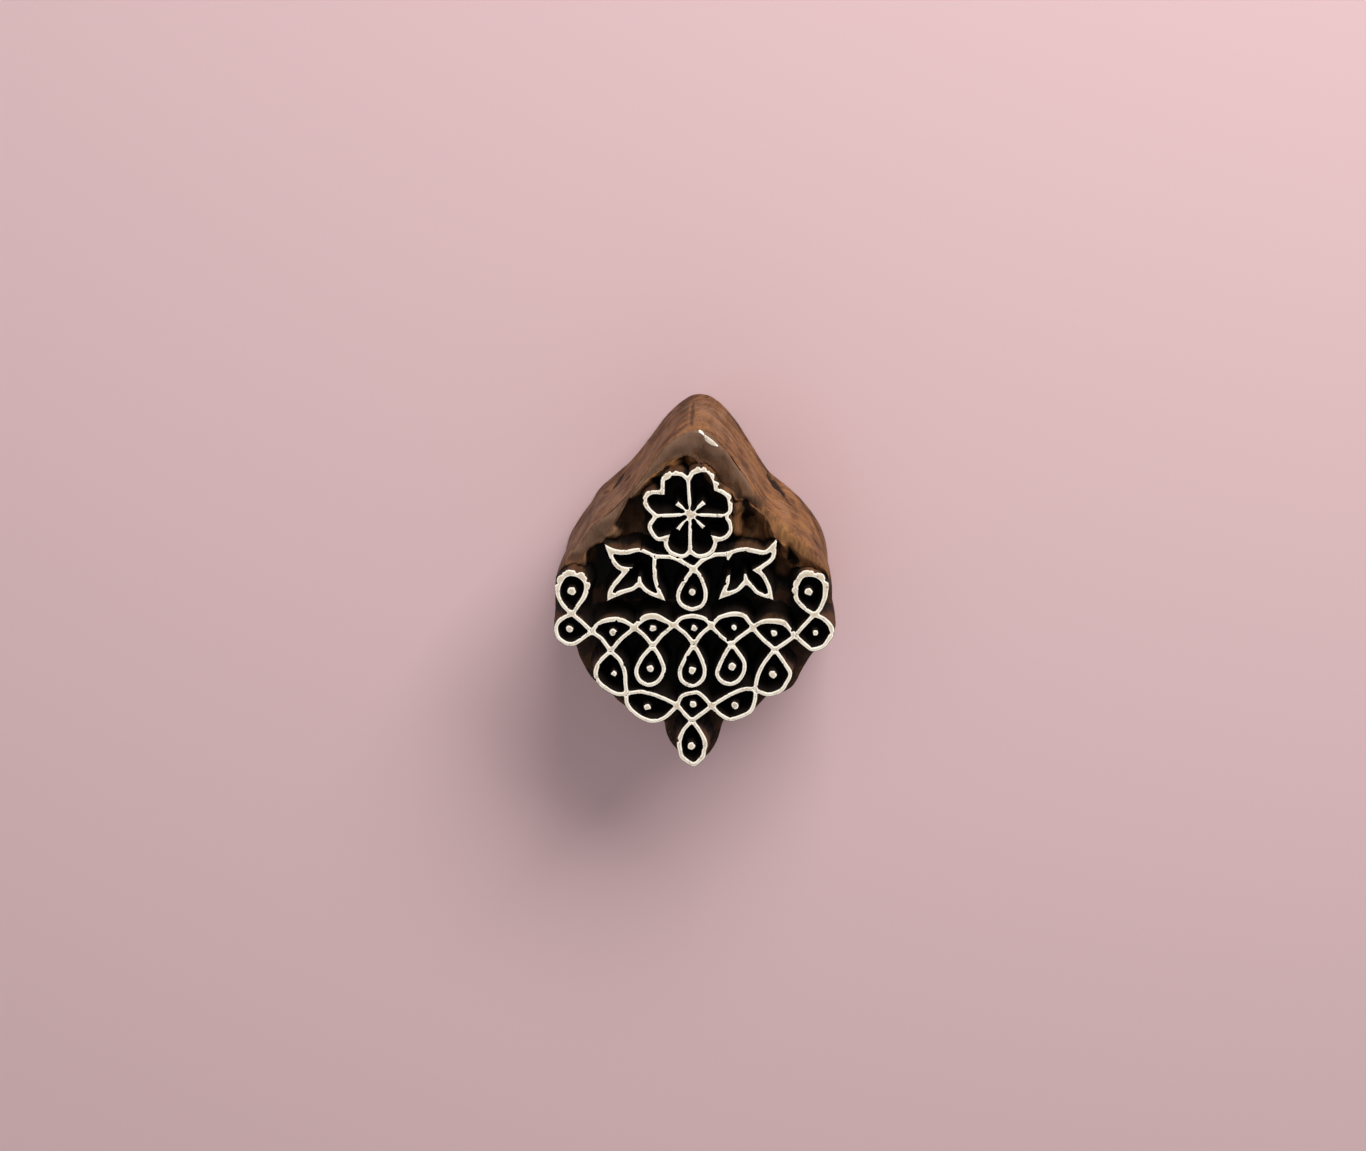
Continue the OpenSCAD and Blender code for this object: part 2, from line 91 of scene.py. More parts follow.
# Chips out of the lines' edges, as the photograph shows them: x, y, radius and depth
CHIPS = [
    (-4.6, 27.9, 0.5, 0.5), (0.8, 28.6, 0.5, 0.3), (2.4, 28.2, 0.4, 0.4), (4.0, 26.1, 0.5, 0.4),
    (4.8, 24.7, 0.4, 0.4), (6.6, 23.9, 0.4, 0.4), (7.8, 21.9, 0.5, 0.3), (5.6, 18.2, 0.4, 0.4),
    (-10.3, 21.6, 0.5, 0.3), (-6.6, 26.0, 0.4, 0.3), (-10.7, 11.8, 0.3, 0.7), (-8.2, 6.6, 0.3, 0.4),
    (-7.0, 4.0, 0.4, 0.4), (-12.8, 7.5, 0.3, 0.4), (6.5, 6.6, 0.4, 0.3), (6.0, 4.9, 0.4, 0.3),
    (15.9, 12.4, 0.4, 0.3), (1.4, 6.3, 0.3, 0.3), (-2.5, 5.5, 0.3, 0.4), (-26.9, 6.6, 0.5, 0.5),
    (-23.4, 7.0, 0.5, 0.5), (-21.0, 5.0, 0.5, 0.5), (-27.9, 4.4, 0.4, 0.4), (-20.8, 2.9, 0.4, 0.3),
    (19.7, 2.8, 0.4, 0.3), (20.8, 6.4, 0.5, 0.5), (24.0, 7.6, 0.5, 0.5), (26.3, 6.0, 0.5, 0.4),
    (-12.3, -3.2, 0.4, 0.6), (-11.2, -3.0, 0.4, 0.5), (-15.6, -3.6, 0.3, 0.4), (6.9, -6.8, 0.3, 0.6),
    (18.5, -3.3, 0.4, 0.3), (19.9, -4.5, 0.4, 0.5), (3.6, -3.2, 0.4, 0.4), (-20.2, -16.0, 0.5, 0.4),
    (-14.1, -12.6, 0.4, 0.3), (12.7, -16.6, 0.4, 0.5), (-3.3, -28.6, 0.4, 0.4), (2.2, -33.2, 0.4, 0.3),
    (26.7, -4.9, 0.5, 0.35),
]

# Flakes of the coat that stand out past its lines: x, y, radius and reach
FLAKES = [
    (-5.7, 28.0, 0.6, 0.25), (-4.0, 28.5, 0.5, 0.2), (0.2, 28.8, 0.6, 0.3), (1.7, 28.7, 0.5, 0.25),
    (3.4, 27.2, 0.5, 0.3), (4.4, 25.2, 0.4, 0.45), (-9.6, 23.3, 0.6, 0.2), (7.3, 22.9, 0.6, 0.2),
    (-25.4, 7.7, 0.9, 0.25), (-22.4, 6.4, 0.7, 0.2), (-27.6, 5.6, 0.7, 0.2), (-20.8, 4.2, 0.7, 0.2),
    (22.0, 7.4, 0.9, 0.25), (25.3, 7.2, 0.8, 0.25), (20.0, 5.2, 0.7, 0.25), (27.4, 4.6, 0.6, 0.2),
    (19.3, 3.8, 0.6, 0.3),
]

# Petals and pendant as the photograph shows them, rounder than drawn: x, y, radius and shift
ROUNDED = [
    (-0.3, 27.3, 1.6, -0.5, 0.2), (1.6, 28.4, 1.3, -0.05, -0.3), (3.2, 27.8, 1.2, -0.1, -0.35),
    (-6.1, 27.2, 1.6, 0.45, -0.4), (-5.7, 26.3, 1.0, 0.3, -0.2), (8.0, 22.2, 3.4, -0.6, 0),
    (8.0, 16.8, 3.2, -0.6, 0), (-2.0, -32.6, 2.2, -0.5, -0.1), (1.9, -32.6, 2.2, 0.42, -0.1),
    (0.0, -33.4, 1.8, 0.1, -0.4),
]

# Splits and hollows in the side of the billet: a run between two points, half width, depth and the darkness
# of their painted shade
SPLITS = [
    ((13.6, 20.9, 1.4), (15.8, 19.1, 5.2), 0.8, 0.3, 0.7),
    ((14.9, 19.9, 4.4), (18.0, 17.4, 10.4), 2.2, 0.7, 1),
    ((17.4, 17.8, 9.4), (19.4, 16.1, 14.5), 0.9, 0.3, 0.6),
    ((-18.1, 18.6, 13.5), (-16.3, 20.4, 7.0), 1.3, 0.35, 1),
    ((-14.9, 21.7, 16.4), (-14.3, 22.3, 19.2), 1.1, 0.3, 0.9),
    ((-20.4, 16.5, 8.0), (-18.8, 18.0, 13.0), 0.8, 0.25, 0.5),
    ((-1.5, 36.2, 9.0), (-1.1, 36.4, 32.5), 0.45, 0.3, 0.55),
    ((3.9, 35.2, 12.0), (4.3, 35.0, 24.0), 0.5, 0.25, 0.4),
]

# Places in the carved ground where the dye is thin: x, y, radius, and how thin from 0 to 1
THIN_DYE = [
    (12.5, 15.0, 4.5, 0.6), (18.2, 8.4, 4.0, 0.6), (23.0, 8.6, 4.5, 0.8), (10.8, 12.8, 5.0, 0.58),
    (-23.5, 8.6, 4.5, 0.8), (-16.0, 12.6, 3.0, 0.5), (-12.0, 13.2, 3.0, 0.5), (7.0, 23.2, 3.5, 0.95),
    (-5.0, 28.2, 3.5, 0.95), (2.8, 28.0, 3.5, 0.95), (-9.4, 23.0, 3.0, 0.9), (8.0, 19.0, 2.0, 1.0),
    (8.4, 16.0, 1.8, 1.0), (13.4, 14.2, 2.8, 0.95), (17.0, 11.0, 2.5, 0.95), (-1.0, 29.4, 3.5, 0.95),
    (-4.6, 29.6, 2.6, 0.95), (17.6, 6.0, 2.5, 0.55),
]

# Bites out of the rim's inner edge: a run in plan from the ground outwards, and half its width at the ground
NOTCHES = [
    ((10.6, 17.6), (10.0, 21.8), 1.1), ((19.6, 8.8), (18.5, 12.6), 1.3), ((-8.0, 24.6), (-9.0, 26.0), 0.7),
]

# Wood left standing in the carved ground: a ridge between two points in plan, half its width and its height
RIDGES = [
    ((8.0, 20.6), (8.2, 15.0), 2.1, 5.7), ((8.6, 13.4), (13.4, 12.8), 2.0, 2.4),
    ((-16.4, 13.3), (-15.4, 12.7), 2.0, 1.6), ((17.4, 11.2), (17.0, 10.2), 1.8, 3.2),
    ((17.4, 6.6), (17.8, 5.6), 2.0, 2.4),
]

# Places where the billet stands out further than drawn: x, y, radius and shift
SWELLS = [
    (-21.8, -13.6, 5.0, -0.9, -0.4), (-20.0, -17.5, 4.0, -0.5, -0.5), (-14.9, -21.6, 4.5, -0.9, -0.9),
    (-4.8, -31.0, 5.0, -0.9, -0.2), (22.4, -12.5, 5.0, 0.7, -0.3), (5.0, -31.0, 5.0, 0.5, -0.2),
]


def smooth_step(low, high, value):
    """0 below low, 1 above high, and a soft rise between them."""
    t = np.clip((value - low) / (high - low), 0, 1)
    return t * t * (3 - 2 * t)


def node_copy(node):
    """A merged copy of a CAD node's mesh."""
    bm = bmesh.new()
    bm.from_mesh(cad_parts[node].data)
    bmesh.ops.remove_doubles(bm, verts=bm.verts, dist=0.002 * MM)
    return bm


def mesh_from(bm, name):
    """A mesh of its own from a bmesh, which is freed."""
    mesh = bpy.data.meshes.new(name)
    bm.to_mesh(mesh)
    bm.free()
    return mesh


def add_piece(mesh, name, node, material, crease=40):
    """Puts a finished mesh in the scene in the place of a CAD node."""
    mesh.shade_smooth()
    mesh.set_sharp_from_angle(angle=math.radians(crease))
    mesh.materials.append(material)
    piece = bpy.data.objects.new(name, mesh)
    bpy.context.scene.collection.objects.link(piece)
    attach(piece, "root")
    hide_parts(node)
    return piece


def set_values(mesh, name, values):
    """Stores one number for each point of a mesh, for its material to read."""
    layer = mesh.attributes.new(name, "FLOAT", "POINT")
    layer.data.foreach_set("value", np.asarray(values, np.float32))


def nearest_tree(places):
    """A search tree that finds the nearest of some places."""
    tree = KDTree(len(places))
    for number, place in enumerate(places):
        tree.insert(place, number)
    tree.balance()
    return tree


def walls_of(nodes):
    """A search tree of CAD nodes' faces, to cast rays at."""
    bm = bmesh.new()
    for node in nodes:
        bm.from_mesh(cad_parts[node].data)
    tree = BVHTree.FromBMesh(bm)
    bm.free()
    return tree


# Materials

class Socket:
    """An output of a material's nodes, with arithmetic that adds Math nodes."""

    def __init__(self, finish, socket):
        self.finish = finish
        self.socket = socket

    def math(self, operation, first, second):
        return self.finish.node("ShaderNodeMath", {"operation": operation}, {0: first, 1: second})

    def __add__(self, other):
        return self.math("ADD", self, other)

    def __radd__(self, other):
        return self.math("ADD", other, self)

    def __sub__(self, other):
        return self.math("SUBTRACT", self, other)

    def __rsub__(self, other):
        return self.math("SUBTRACT", other, self)

    def __mul__(self, other):
        return self.math("MULTIPLY", self, other)

    def __rmul__(self, other):
        return self.math("MULTIPLY", other, self)

    def __truediv__(self, other):
        return self.math("DIVIDE", self, other)

    def __rtruediv__(self, other):
        return self.math("DIVIDE", other, self)


class Finish:
    """A material, written as expressions on its nodes."""

    def __init__(self, name):
        self.material = bpy.data.materials.new(name)
        self.material.use_nodes = True
        self.tree = self.material.node_tree
        self.shader = self.tree.nodes["Principled BSDF"]
        place = self.node("ShaderNodeTexCoord", output="Object")
        self.place = self.node("ShaderNodeVectorMath", {"operation": "SCALE"}, {0: place, "Scale": 1 / MM})

    def node(self, kind, settings=None, inputs=None, output=0):
        """One output of a new node, whose settings are made before its sockets are given."""
        made = self.tree.nodes.new(kind)
        for name, value in (settings or {}).items():
            if name == "stops":
                while len(made.color_ramp.elements) < len(value):
                    made.color_ramp.elements.new(1)
                for element, (position, colour) in zip(made.color_ramp.elements, value):
                    element.position = position
                    element.color = (*colour, 1)
            else:
                setattr(made, name, value)
        for name, value in (inputs or {}).items():
            self.plug(made.inputs[name], value)
        return Socket(self, made.outputs[output])

    def plug(self, socket, value):
        """Gives an input a link or a plain value."""
        if isinstance(value, Socket):
            self.tree.links.new(value.socket, socket)
        else:
            socket.default_value = value

    def stretched(self, x, y, z):
        """The place on the object in millimetres, divided by three lengths."""
        return self.node(
            "ShaderNodeVectorMath", {"operation": "MULTIPLY"}, {0: self.place, 1: (1 / x, 1 / y, 1 / z)}
        )

    def noise(self, vector, detail=3, roughness=0.55, distortion=0):
        return self.node("ShaderNodeTexNoise", None, {
            "Vector": vector, "Scale": 1, "Detail": detail, "Roughness": roughness, "Distortion": distortion,
        })

    def step(self, value, low, high):
        """0 below low, 1 above high, and a soft rise between them."""
        return self.node(
            "ShaderNodeMapRange", {"interpolation_type": "SMOOTHSTEP"},
            {"Value": value, "From Min": low, "From Max": high},
        )

    def mix(self, factor, first, second):
        """A colour between two others."""
        def colour(value):
            return value if isinstance(value, Socket) else (*value, 1)

        return self.node(
            "ShaderNodeMix", {"data_type": "RGBA"}, {0: factor, 6: colour(first), 7: colour(second)}, output=2
        )

    def ramp(self, value, stops):
        return self.node("ShaderNodeValToRGB", {"stops": stops}, {"Fac": value})

    def size_of(self, value):
        return self.node("ShaderNodeMath", {"operation": "ABSOLUTE"}, {0: value})

    def length(self, vector):
        return self.node("ShaderNodeVectorMath", {"operation": "LENGTH"}, {0: vector}, output="Value")

    def vector(self, x, y, z):
        return self.node("ShaderNodeCombineXYZ", None, {"X": x, "Y": y, "Z": z})

    def values(self, name):
        """The numbers stored under a name at the mesh's points."""
        return self.node("ShaderNodeAttribute", {"attribute_name": name}, output="Fac")

    def axis(self, name):
        return self.node("ShaderNodeSeparateXYZ", None, {"Vector": self.place}, output=name)

    def bump(self, height, distance, strength):
        return self.node(
            "ShaderNodeBump", None, {"Height": height, "Distance": distance * MM, "Strength": strength}
        )

    def set(self, **sockets):
        """Gives sockets of the shader their values, named with underscores for spaces."""
        for name, value in sockets.items():
            self.plug(self.shader.inputs[name.replace("_", " ")], value)


def side_wood():
    """Dry brown hardwood with its grain along the block, end grain at the point, dirt and dye."""
    f = Finish("side_wood")
    x = f.axis("X")
    y = f.axis("Y")
    z = f.axis("Z")

    # The wood's own figure follows the growth rings, whose heart lies below and left of the block
    warp = f.noise(f.stretched(8, 14, 8), detail=2)
    from_heart = f.length(f.vector(x + 22, 0, z + 34))
    fibres = f.noise(f.stretched(0.5, 7.5, 0.5), detail=4, roughness=0.6, distortion=0.3)
    patches = f.noise(f.stretched(3.2, 8, 9), detail=2, roughness=0.5)
    across = from_heart + warp * 2.6 + patches * 3
    rings = f.noise(f.vector(across * 0.5, y * 0.03, 3.1), detail=4, roughness=0.6)
    end_grain = f.step(y + warp * 5, 33, 38)
    tone = 0.49 + (rings - 0.5) * 0.8 + (fibres - 0.5) * 0.65
    tone = tone + (patches - 0.5) * 0.9 - end_grain * 0.06
    colour = f.ramp(tone, [
        (0.2, (0.04, 0.016, 0.006)), (0.36, (0.104, 0.042, 0.016)), (0.51, (0.192, 0.082, 0.029)),
        (0.64, (0.271, 0.123, 0.042)), (0.85, (0.313, 0.156, 0.061)),
    ])

    # Grey weathering, most of it at the left, dark and glowing strokes along the rings, and open pores
    greyed = f.step(patches - x * 0.008 + (warp - 0.5) * 0.7, 0.42, 0.68)
    grey = f.mix(f.step(tone, 0.3, 0.7), (0.07, 0.037, 0.022), (0.24, 0.138, 0.088))
    left_end = 1 - f.step(x, -24, -14)
    colour = f.mix(greyed * 0.6 + left_end * 0.3, colour, grey)
    along_rings = f.vector(across * 0.9, y * 0.16, z * 0.14)
    strokes = f.step(f.noise(along_rings, detail=3, roughness=0.6, distortion=0.4), 0.55, 0.68)
    colour = f.mix(strokes * 0.6, colour, (0.068, 0.027, 0.011))
    along_rings = f.vector(across * 0.6, y * 0.14, z * 0.12 + 5)
    glow = f.step(f.noise(along_rings, detail=3, distortion=0.4), 0.53, 0.66)
    colour = f.mix(glow * 0.45, colour, (0.39, 0.166, 0.052))
    pores = f.step(f.noise(f.stretched(0.3, 2.6, 0.3), detail=2), 0.64, 0.74)
    colour = f.mix(pores * 0.55, colour, (0.06, 0.026, 0.013))

    # Dust and painted sheen on the ledge, painted shade along its brink and at the foot, and wear on the
    # ridges
    ledge = f.values("ledge")
    # Grey-brown on the ledge: dust mixed with painted sheen
    dust_and_sheen = f.mix(fibres * 0.6 + patches * 0.4, (0.092, 0.049, 0.03), (0.232, 0.128, 0.081))
    colour = f.mix(ledge * f.step(patches - x * 0.01, 0.2, 0.55), colour, dust_and_sheen)
    # Painted shade along the ledge's brink, where it steps down from the crest
    brink_shade = 1 - f.step(f.size_of(ledge - 0.5), 0.1, 0.45)
    colour = f.mix(brink_shade * f.step(warp - y * 0.007, 0.05, 0.3) * 0.7, colour, (0.05, 0.024, 0.014))
    # Painted shade darkening the foot of the block, where it meets the floor
    foot_shade = 1 - f.step(z + patches * 4, 1.6, 4.6)
    colour = f.mix(foot_shade * 0.5, colour, (0.1, 0.047, 0.027))
    worn = f.step(f.values("worn") + (fibres - 0.5) * 0.6, 0.6, 1.1)
    colour = f.mix(worn * 0.15, colour, (0.42, 0.21, 0.1))

    # Dye in the carved ground, with painted shade: reddish by the knife's facets in the open, black where it
    # is dim
    facets = f.node(
        "ShaderNodeTexVoronoi", None, {"Vector": f.stretched(2.6, 2.6, 6), "Scale": 1}, output="Color"
    )
    facet = f.node("ShaderNodeSeparateColor", None, {"Color": facets})
    reddish = f.mix(facet * 0.75 + fibres * 0.25, (0.007, 0.0025, 0.001), (0.1, 0.039, 0.016))
    dye = f.mix(f.values("dim"), reddish, (0.0035, 0.002, 0.0015))
    stain = f.step(f.values("stain") + (fibres - 0.5) * 0.35, 0.15, 0.85)
    colour = f.mix(stain, colour, dye)
    # Painted shade in the splits and hollows of the sides
    colour = f.mix(f.values("split"), colour, (0.012, 0.005, 0.003))

    height = fibres * 0.7 + patches * 0.5 - pores * 0.5
    f.set(
        Base_Color=colour, Roughness=0.64 + fibres * 0.24 - ledge * 0.12, Specular_IOR_Level=0.28,
        Normal=f.bump(height, 0.22, 0.8),
    )
    return f.material


def carved_wood():
    """The standing sides of the lines: knife-cut wood, brown near the face in the open, dyed black below, the
    black also painted shade that deepens downwards and where the lines close in.
    """
    f = Finish("carved_wood")
    streaks = f.noise(f.stretched(0.6, 0.6, 5), detail=4, roughness=0.65)
    cuts = f.noise(f.stretched(5, 5, 0.7), detail=2)
    patches = f.noise(f.stretched(2.5, 2.5, 4), detail=2)
    height = (f.axis("Z") - GROUND_Z) / (COAT_Z - GROUND_Z)
    thin = f.values("thin")
    # How far the brown reaches: bare wood and painted light near the face and in the open, dye and painted
    # shade below and where the lines close in
    reach = height + (f.values("open") - 0.5) * 1.5 + (patches - 0.5) * 0.6 + (streaks - 0.5) * 0.4
    bare_and_lit = f.step(reach + thin * 0.6, 0.75, 1.25)
    marks = streaks * 0.65 + cuts * 0.35
    dark_brown = f.mix(marks, (0.026, 0.011, 0.005), (0.14, 0.063, 0.029))
    light_brown = f.mix(marks, (0.08, 0.034, 0.013), (0.3, 0.14, 0.06))
    brown = f.mix(f.step(thin, 0.5, 0.95), dark_brown, light_brown)
    black = f.mix(streaks, (0.003, 0.0018, 0.0013), (0.013, 0.006, 0.0035))
    f.set(
        Base_Color=f.mix(bare_and_lit, black, brown), Roughness=0.7 + streaks * 0.2, Specular_IOR_Level=0.2,
        Normal=f.bump(streaks + cuts, 0.14, 0.8),
    )
    return f.material


def ground_coat():
    """Chalky cream coat: bright along the edges, rubbed to tan along the middle of the lines."""
    f = Finish("ground_coat")
    grain = f.noise(f.stretched(0.35, 0.35, 0.35), detail=4, roughness=0.6)
    rubs = f.noise(f.stretched(1.6, 1.6, 1.6), detail=4, roughness=0.6)
    cream = f.mix(grain, (0.97, 0.89, 0.76), (1.0, 0.97, 0.89))
    tan = f.mix(grain, (0.42, 0.32, 0.21), (0.65, 0.53, 0.38))
    rubbed = f.step(f.values("core") * 0.8 + (rubs - 0.5) * 0.9, 0.1, 0.75)
    colour = f.mix(rubbed * 0.7, cream, tan)
    specks = f.step(f.noise(f.stretched(0.6, 0.6, 0.6), detail=3), 0.65, 0.73)
    colour = f.mix(specks * 0.55, colour, (0.27, 0.18, 0.11))
    crackle = f.noise(f.stretched(1.1, 1.1, 1.1), detail=2)
    crack = (1 - f.step(f.size_of(crackle - 0.5), 0.006, 0.026)) * f.step(rubs, 0.5, 0.58)
    colour = f.mix(crack * 0.75, colour, (0.14, 0.085, 0.05))
    f.set(
        Base_Color=colour, Roughness=0.85 - rubbed * 0.1, Specular_IOR_Level=0.3,
        Normal=f.bump(grain * 0.6 + rubs * 0.4, 0.06, 0.6),
    )
    return f.material


SIDE_WOOD = side_wood()
CARVED_WOOD = carved_wood()
GROUND_COAT = ground_coat()

# Walls to measure against: every standing wall of the part, the lines alone, and the billet alone
STANDING = walls_of(RELIEFS + ["block_body"])
LINES = walls_of(RELIEFS)
body_copy = node_copy("block_body")
BODY = BVHTree.FromBMesh(body_copy)
body_copy.free()


# The lines and their coat

def clear_way(x, y, angle):
    """Clear distance from a point towards an angle, halfway down the carving."""
    way = Vector((math.cos(angle), math.sin(angle), 0))
    start = Vector((x, y, LOOK_Z)) * MM + way * 0.02 * MM
    distance = STANDING.ray_cast(start, way, REACH * MM)[3]
    return REACH if distance is None else distance / MM


def way_to_side(x, y, angle):
    """Distance from a point towards an angle to the billet's side, and 0 for a point past it."""
    way = Vector((math.cos(angle), math.sin(angle), 0))
    hit, normal, _, distance = STANDING.ray_cast(Vector((x, y, LOW_Z)) * MM, way, REACH * MM)
    if hit is None:
        return REACH
    return distance / MM if normal.dot(way) > 0 else 0


def hand(x, y, stray, length):
    """The unsteady hand: how far a carved edge strays in plan at a place."""
    place = Vector((x / length, y / length, 0))
    return stray * noise.noise(place), stray * noise.noise(place + Vector((0, 0, 9.3)))


def chip(x, y):
    """Depth of a chip out of a line's edge at a place."""
    depth = 0
    for chip_x, chip_y, radius, most in CHIPS:
        away = math.hypot(x - chip_x, y - chip_y) / radius
        if away < 1:
            depth = max(depth, most * (1 - away * away))
    flaw = noise.noise(Vector((x / 0.8, y / 0.8, 4.7)))
    return max(depth, 0.5 * max(0, flaw - 0.42))


def flake(x, y):
    """Reach of a flake of coat past its line at a place."""
    reach = 0
    for flake_x, flake_y, radius, most in FLAKES:
        away = math.hypot(x - flake_x, y - flake_y) / radius
        if away < 1:
            reach = max(reach, most * (1 - away * away) ** 0.7)
    return reach


def rounding(x, y):
    """Shift that rounds a petal or the pendant at a place."""
    shift = np.zeros(2)
    for middle_x, middle_y, radius, shift_x, shift_y in ROUNDED:
        away = math.hypot(x - middle_x, y - middle_y) / radius
        if away < 1:
            shift += np.array([shift_x, shift_y]) * (1 - away * away) ** 2
    return shift


def slimming(x, y):
    """Wood cut away where the flower's ribs and stamens run together thin."""
    away = math.hypot(x - FLOWER_MIDDLE[0], y - FLOWER_MIDDLE[1])
    return 1.6 * max(0, 1 - away / 2.4) ** 2 + 0.06 * (away < 6.5)


def thin_dye(x, y):
    """How thin the dye is at a place, from 0 to 1."""
    thin = np.zeros(np.shape(x))
    for thin_x, thin_y, radius, share in THIN_DYE:
        away = np.hypot(x - thin_x, y - thin_y) / radius
        thin = np.maximum(thin, share * (1 - smooth_step(0.4, 1, away)))
    return thin


def top_outline(node, step):
    """The outline of a node's top as closed wires of short edges."""
    bm = node_copy(node)
    bmesh.ops.delete(bm, geom=[f for f in bm.faces if f.normal.z < 0.9], context="FACES")
    bmesh.ops.delete(bm, geom=list(bm.faces), context="FACES_KEEP_BOUNDARY")
    bmesh.ops.remove_doubles(bm, verts=bm.verts, dist=0.06 * MM)
    by_cuts = {}
    for edge in bm.edges:
        by_cuts.setdefault(math.ceil(edge.calc_length() / (step * MM)) - 1, []).append(edge)
    for cuts, edges in by_cuts.items():
        if cuts > 0:
            bmesh.ops.subdivide_edges(bm, edges=edges, cuts=cuts)
    return bm


def fill(bm, edges, up):
    """Fills closed wires, holes left open, with faces that look up or down."""
    made = bmesh.ops.triangle_fill(bm, use_beauty=True, edges=edges, normal=(0, 0, up))
    for face in made["geom"]:
        if isinstance(face, bmesh.types.BMFace):
            face.normal_update()
            if face.normal.z * up < 0:
                face.normal_flip()


def softened(values, ends, passes):
    """Softens values along closed wires, whose edges are given by the numbers of their ends."""
    for _ in range(passes):
        near = np.zeros_like(values)
        np.add.at(near, ends[:, 0], values[ends[:, 1]])
        np.add.at(near, ends[:, 1], values[ends[:, 0]])
        values = (2 * values + near) / 4
    return values


def way_out(edges, count):
    """At each point of a filled outline, the way out of the line."""
    out = np.zeros((count, 2))
    for edge in edges:
        loop = edge.link_loops[0]
        along = loop.link_loop_next.vert.co - loop.vert.co
        side = Vector((along.y, -along.x)).normalized()
        for vert in edge.verts:
            out[vert.index] += side
    return out


class Line:
    """A motif's outline as the knife left it, ready to be raised into wood or coat."""

    def __init__(self, node, step, chipped):
        stray, length = (0.24, 1.0) if node.startswith("dot") else (0.08, 1.6)
        self.bm = top_outline(node, step)
        fill(self.bm, self.bm.edges[:], 1)
        self.bm.verts.index_update()
        count = len(self.bm.verts)
        edges = [edge for edge in self.bm.edges if edge.is_boundary]
        ends = np.array([[v.index for v in edge.verts] for edge in edges])
        out = softened(way_out(edges, count), ends, 4)
        self.out = out / np.maximum(np.linalg.norm(out, axis=1), 1e-9)[:, None]
        self.point = self.bm.verts.layers.int.new("point")
        self.open = np.zeros(count)
        self.gap = np.zeros(count)
        self.room = np.zeros(count)
        self.thin = np.zeros(count)
        for vert in self.bm.verts:
            i = vert.index
            vert[self.point] = i
            x = vert.co.x / MM
            y = vert.co.y / MM
            ahead = math.atan2(self.out[i][1], self.out[i][0])
            ways = [clear_way(x, y, ahead + math.radians(turn)) for turn in range(-60, 61, 20)]
            self.gap[i] = min(ways)
            self.room[i] = way_to_side(x, y, ahead)
            self.thin[i] = thin_dye(x, y)
            self.open[i] = max(sum(ways) / len(ways) / REACH, self.thin[i])
            width = clear_way(x, y, ahead + math.pi)
            bite = self.worn(i, min(chip(x, y) * chipped, 0.6 * width)) + slimming(x, y)
            off = rounding(x, y) + hand(x, y, stray, length)
            vert.co.x += (off[0] - self.out[i][0] * bite) * MM
            vert.co.y += (off[1] - self.out[i][1] * bite) * MM
        self.open = softened(self.open, ends, 16)
        self.thin = softened(self.thin * (self.gap > 1.5), ends, 16)
        bmesh.ops.delete(self.bm, geom=list(self.bm.faces), context="FACES_KEEP_BOUNDARY")
        self.rim = self.bm.edges[:]
        self.base = {v[self.point]: (v.co.x / MM, v.co.y / MM) for v in self.bm.verts}

    def worn(self, i, depth):
        """Depth that the edge has worn back, none where the motif is cut to meet its neighbour."""
        return depth if self.gap[i] > TOUCHING else 0

    def lower(self, edges, z, spread):
        """Carries a ring of edges down to height z, spread out by a function of the point."""
        made = bmesh.ops.extrude_edge_only(self.bm, edges=edges)["geom"]
        for vert in made:
            if isinstance(vert, bmesh.types.BMVert):
                i = vert[self.point]
                x, y = self.base[i]
                far = spread(i, x, y)
                vert.co = Vector((x + self.out[i][0] * far, y + self.out[i][1] * far, z)) * MM
        return [item for item in made if isinstance(item, bmesh.types.BMEdge)]


def standing_line(node, name):
    """The wood of a motif, cut with sides that lean out towards the ground."""
    line = Line(node, WOOD_STEP, 0.6)
    fill(line.bm, line.rim, 1)
    foot_z = GROUND_Z - FOOT_DEPTH
    ring = line.rim
    for share in (0.04, 0.12, 0.25, 0.42, 0.6, 0.78, 0.9, 1):
        z = COAT_Z + (foot_z - COAT_Z) * share

        def spread(i, x, y):
            mark = noise.noise(Vector((x / 0.75, y / 0.75, z / 9)))
            lean = 0.2 * share + 0.7 * share ** 3 + 0.5 * max(0, line.open[i] - 0.4) * share
            lean += 0.14 * mark * min(1, 4 * share)
            return min(lean, 0.36 * line.gap[i], line.room[i] - 0.2 * share)

        ring = line.lower(ring, z, spread)
    fill(line.bm, ring, -1)
    bmesh.ops.recalc_face_normals(line.bm, faces=line.bm.faces)
    points = [vert[line.point] for vert in line.bm.verts]
    mesh = mesh_from(line.bm, name)
    set_values(mesh, "open", line.open[points])
    set_values(mesh, "thin", line.thin[points])
    add_piece(mesh, name, node, CARVED_WOOD)


